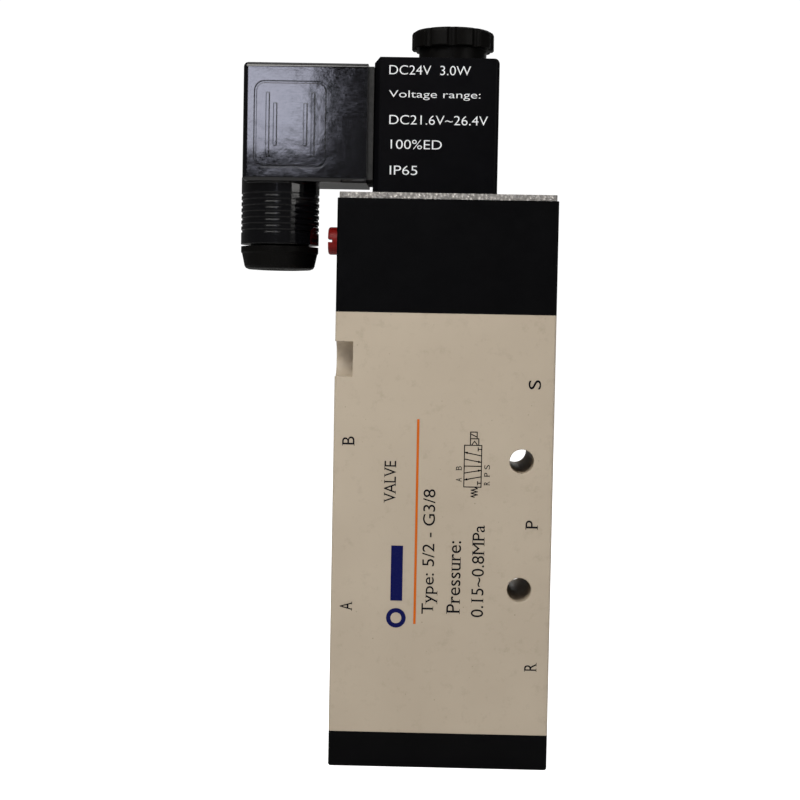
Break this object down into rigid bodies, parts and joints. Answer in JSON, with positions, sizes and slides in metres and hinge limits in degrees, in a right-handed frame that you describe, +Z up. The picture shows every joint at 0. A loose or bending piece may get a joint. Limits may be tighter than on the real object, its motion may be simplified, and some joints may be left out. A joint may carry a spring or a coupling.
{
  "type": "solenoid directional valve",
  "caption": "Pilot-operated spool valve with threaded ports on two faces, a swivelling solenoid coil with a plug connector, a knob nut and a push-and-turn manual override.",
  "frame": {"origin": "centre of the bottom cover's resting face", "axes": "+Z up along the spool, +X out of the face with the pressure and exhaust ports, +Y out of the back face"},
  "size_m": [0.0735, 0.034, 0.1698],
  "materials": {
    "body_paint": "die-cast aluminium with a smooth warm light grey paint",
    "block_black": "glass-filled black plastic, satin",
    "coil_black": "moulded black coil resin, satin",
    "plug_black": "glossy black plastic",
    "nut_black": "black plastic, slightly grained",
    "plated_steel": "zinc-plated steel",
    "tube_steel": "turned stainless steel",
    "screw_steel": "plated machine screws",
    "spring_steel": "spring wire",
    "spool_aluminium": "turned and anodised aluminium",
    "red_plastic": "red plastic",
    "white_plastic": "natural acetal plastic",
    "dark_rubber": "black nitrile rubber",
    "green_rubber": "green fluorocarbon rubber",
    "copper_wire": "enamelled copper winding",
    "brass": "machined brass",
    "terminal_plate": "tin-plated terminal blades",
    "block_grey": "dark grey insulating plastic"
  },
  "bodies": {
    "valve": {"body_block": "body_paint", "bottom_cover": "block_black", "bottom_gasket": "dark_rubber", "cover_screws": "screw_steel", "pilot_body": "block_black", "pilot_gasket": "dark_rubber", "fixed_plate": "plated_steel", "pilot_screws": "screw_steel", "guide_tube": "tube_steel", "fixed_core": "tube_steel", "tube_o_ring": "dark_rubber", "passage_plug": "screw_steel", "override_retaining_pin": "screw_steel", "return_spring": "spring_steel", "plunger_spring": "spring_steel", "override_spring": "spring_steel"},
    "spool": {"spool": "spool_aluminium", "spool_o_rings": "dark_rubber", "spool_wear_rings": "white_plastic"},
    "piston": {"piston": "white_plastic", "piston_seal": "dark_rubber"},
    "plunger": {"plunger": "tube_steel", "plunger_seal": "green_rubber", "exhaust_seal": "green_rubber"},
    "override_seal": {"override_o_ring": "dark_rubber"},
    "override": {"override_button": "red_plastic"},
    "coil": {"coil_case": "coil_black", "coil_bobbin": "white_plastic", "coil_winding": "copper_wire", "magnet_frame": "plated_steel", "terminal_pins": "terminal_plate", "coil_insert": "brass"},
    "nut_seal": {"nut_seal": "dark_rubber"},
    "nut": {"coil_nut": "nut_black"},
    "plug": {"plug_housing": "plug_black", "terminal_block": "block_grey", "contact_sockets": "brass", "terminal_screws": "screw_steel", "plug_gasket": "dark_rubber", "plug_screw": "screw_steel", "gland_grommet": "dark_rubber"},
    "gland_washer": {"gland_washer": "screw_steel"},
    "gland": {"gland_screw": "nut_black"}
  },
  "joints": [
    {"name": "spool_shift", "type": "slide", "parent": "valve", "child": "spool", "axis": [0, 0, -1], "range_m": [0, 0.006], "stiffness_N_per_m": 800, "springref_m": -0.012, "deforming": ["return_spring"]},
    {"name": "piston_shift", "type": "slide", "parent": "valve", "child": "piston", "axis": [0, 0, -1], "range_m": [0, 0.006]},
    {"name": "plunger_lift", "type": "slide", "parent": "valve", "child": "plunger", "axis": [0, 0, 1], "range_m": [0, 0.001], "stiffness_N_per_m": 200, "springref_m": -0.003, "deforming": ["plunger_spring"]},
    {"name": "override_press", "type": "slide", "parent": "valve", "child": "override_seal", "axis": [1, 0, 0], "range_m": [0, 0.002], "stiffness_N_per_m": 250, "springref_m": -0.004, "deforming": ["override_spring"]},
    {"name": "override_turn", "type": "hinge", "parent": "override_seal", "child": "override", "pos_m": [-0.0279, 0, 0.1206], "axis": [1, 0, 0], "range_deg": [0, 90]},
    {"name": "coil_swivel", "type": "hinge", "parent": "valve", "child": "coil", "pos_m": [0.0005, 0, 0.1312], "axis": [0, 0, 1], "continuous": true},
    {"name": "nut_lift", "type": "slide", "parent": "valve", "child": "nut_seal", "axis": [0, 0, 1], "range_m": [0, 0.0045]},
    {"name": "nut_turn", "type": "hinge", "parent": "nut_seal", "child": "nut", "pos_m": [0.0005, 0, 0.1654], "axis": [0, 0, 1], "range_deg": [0, 1625]},
    {"name": "plug_pull", "type": "slide", "parent": "coil", "child": "plug", "axis": [-1, 0, 0], "range_m": [0, 0.012]},
    {"name": "gland_slide", "type": "slide", "parent": "plug", "child": "gland_washer", "axis": [0, 0, -1], "range_m": [0, 0.00705]},
    {"name": "gland_turn", "type": "hinge", "parent": "gland_washer", "child": "gland", "pos_m": [-0.0394, 0, 0.1173], "axis": [0, 0, -1], "range_deg": [0, 1805]}
  ],
  "couplings": [
    {"joint": "piston_shift", "follows": "spool_shift", "ratio": 1},
    {"joint": "nut_turn", "follows": "nut_lift", "rad_per_m": 6283.2},
    {"joint": "gland_turn", "follows": "gland_slide", "rad_per_m": 4456.2}
  ]
}
